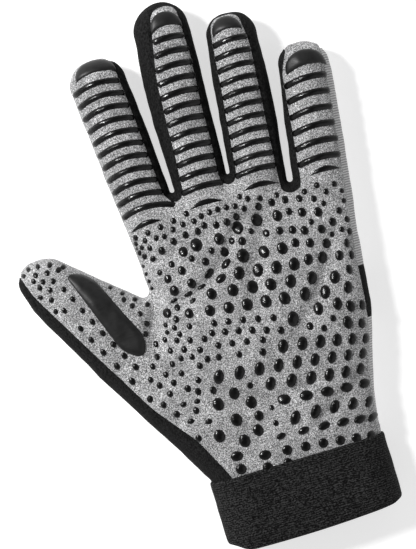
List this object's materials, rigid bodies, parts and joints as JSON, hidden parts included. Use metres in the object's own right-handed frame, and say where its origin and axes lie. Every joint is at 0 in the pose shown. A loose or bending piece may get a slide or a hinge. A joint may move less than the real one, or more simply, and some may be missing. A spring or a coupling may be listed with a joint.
{
  "type": "grooming glove",
  "caption": "Left-hand pet grooming glove: hollow five-finger fabric shell with silicone grip bars on the fingers, dots on the palm, a thumb pad and a knitted elastic cuff.",
  "frame": {"origin": "on the surface the glove lies on, under the middle of the glove's box", "axes": "+Y from the wrist opening to the fingertips, +Z out of the palm, +X from the thumb to the little finger"},
  "size_m": [0.1599, 0.2432, 0.0218],
  "materials": {
    "grey_fabric": "heather suede knit",
    "black_fabric": "matte stretch fabric",
    "rib_knit": "ribbed knit",
    "cuff_knit": "matte fine-rib knit",
    "silicone": "glossy silicone print",
    "elastic": "woven elastic",
    "thread": "overlock thread"
  },
  "bodies": {
    "hand": {"back_panel": "grey_fabric", "cuff_elastic": "elastic", "cuff_lining": "cuff_knit", "cuff_outer": "cuff_knit", "cuff_seam": "thread", "finger_base_bars": "silicone", "outer_strip_low": "rib_knit", "outer_strip_patch": "black_fabric", "outer_strip_top": "rib_knit", "palm_dots": "silicone", "palm_panel": "grey_fabric", "thumb_side_strip": "black_fabric", "web_index_middle": "black_fabric", "web_middle_ring": "black_fabric", "web_ring_little": "black_fabric"},
    "index_lower": {"index_lower_back": "grey_fabric", "index_lower_bars": "silicone", "index_lower_front": "grey_fabric", "index_lower_side": "black_fabric"},
    "index_upper": {"index_upper_back": "grey_fabric", "index_upper_bars": "silicone", "index_upper_front": "grey_fabric", "index_upper_side": "black_fabric"},
    "middle_lower": {"middle_lower_back": "grey_fabric", "middle_lower_bars": "silicone", "middle_lower_front": "grey_fabric", "middle_lower_side": "black_fabric"},
    "middle_upper": {"middle_upper_back": "grey_fabric", "middle_upper_bars": "silicone", "middle_upper_front": "grey_fabric", "middle_upper_side": "black_fabric"},
    "ring_lower": {"ring_lower_back": "grey_fabric", "ring_lower_bars": "silicone", "ring_lower_front": "grey_fabric", "ring_lower_side": "black_fabric"},
    "ring_upper": {"ring_upper_back": "grey_fabric", "ring_upper_bars": "silicone", "ring_upper_front": "grey_fabric", "ring_upper_side": "black_fabric"},
    "little_lower": {"little_lower_back": "grey_fabric", "little_lower_bars": "silicone", "little_lower_front": "grey_fabric", "little_lower_outer_strip": "rib_knit", "little_lower_side": "black_fabric"},
    "little_upper": {"little_upper_back": "grey_fabric", "little_upper_bars": "silicone", "little_upper_front": "grey_fabric", "little_upper_outer_strip": "rib_knit", "little_upper_side": "black_fabric"},
    "thumb_lower": {"thumb_lower_back": "grey_fabric", "thumb_lower_dots": "silicone", "thumb_lower_front": "grey_fabric", "thumb_lower_side": "black_fabric", "thumb_pad": "silicone"},
    "thumb_upper": {"thumb_pad_end": "silicone", "thumb_upper_back": "grey_fabric", "thumb_upper_dots": "silicone", "thumb_upper_front": "grey_fabric", "thumb_upper_side": "black_fabric"}
  },
  "joints": [
    {"name": "index_root", "type": "hinge", "parent": "hand", "child": "index_lower", "pos_m": [-0.01841, 0.04477, 0.0218], "axis": [1, 0, 0], "range_deg": [0, 75]},
    {"name": "index_fold", "type": "hinge", "parent": "index_lower", "child": "index_upper", "pos_m": [-0.01841, 0.06797, 0.0218], "axis": [1, 0, 0], "range_deg": [0, 85]},
    {"name": "middle_root", "type": "hinge", "parent": "hand", "child": "middle_lower", "pos_m": [0.0106, 0.04697, 0.0218], "axis": [1, 0, 0], "range_deg": [0, 75]},
    {"name": "middle_fold", "type": "hinge", "parent": "middle_lower", "child": "middle_upper", "pos_m": [0.0106, 0.07077, 0.0218], "axis": [1, 0, 0], "range_deg": [0, 85]},
    {"name": "ring_root", "type": "hinge", "parent": "hand", "child": "ring_lower", "pos_m": [0.03859, 0.04617, 0.0218], "axis": [1, 0, 0], "range_deg": [0, 75]},
    {"name": "ring_fold", "type": "hinge", "parent": "ring_lower", "child": "ring_upper", "pos_m": [0.03859, 0.06897, 0.0218], "axis": [1, 0, 0], "range_deg": [0, 85]},
    {"name": "little_root", "type": "hinge", "parent": "hand", "child": "little_lower", "pos_m": [0.06459, 0.03857, 0.0218], "axis": [1, 0, 0], "range_deg": [0, 75]},
    {"name": "little_fold", "type": "hinge", "parent": "little_lower", "child": "little_upper", "pos_m": [0.06459, 0.05247, 0.0218], "axis": [1, 0, 0], "range_deg": [0, 85]},
    {"name": "thumb_root", "type": "hinge", "parent": "hand", "child": "thumb_lower", "pos_m": [-0.03457, -0.02895, 0.0218], "axis": [0.3987, 0.9171, 0], "range_deg": [0, 35]},
    {"name": "thumb_fold", "type": "hinge", "parent": "thumb_lower", "child": "thumb_upper", "pos_m": [-0.05269, 0.00799, 0.0218], "axis": [0.7547, 0.6561, 0], "range_deg": [0, 50]}
  ]
}
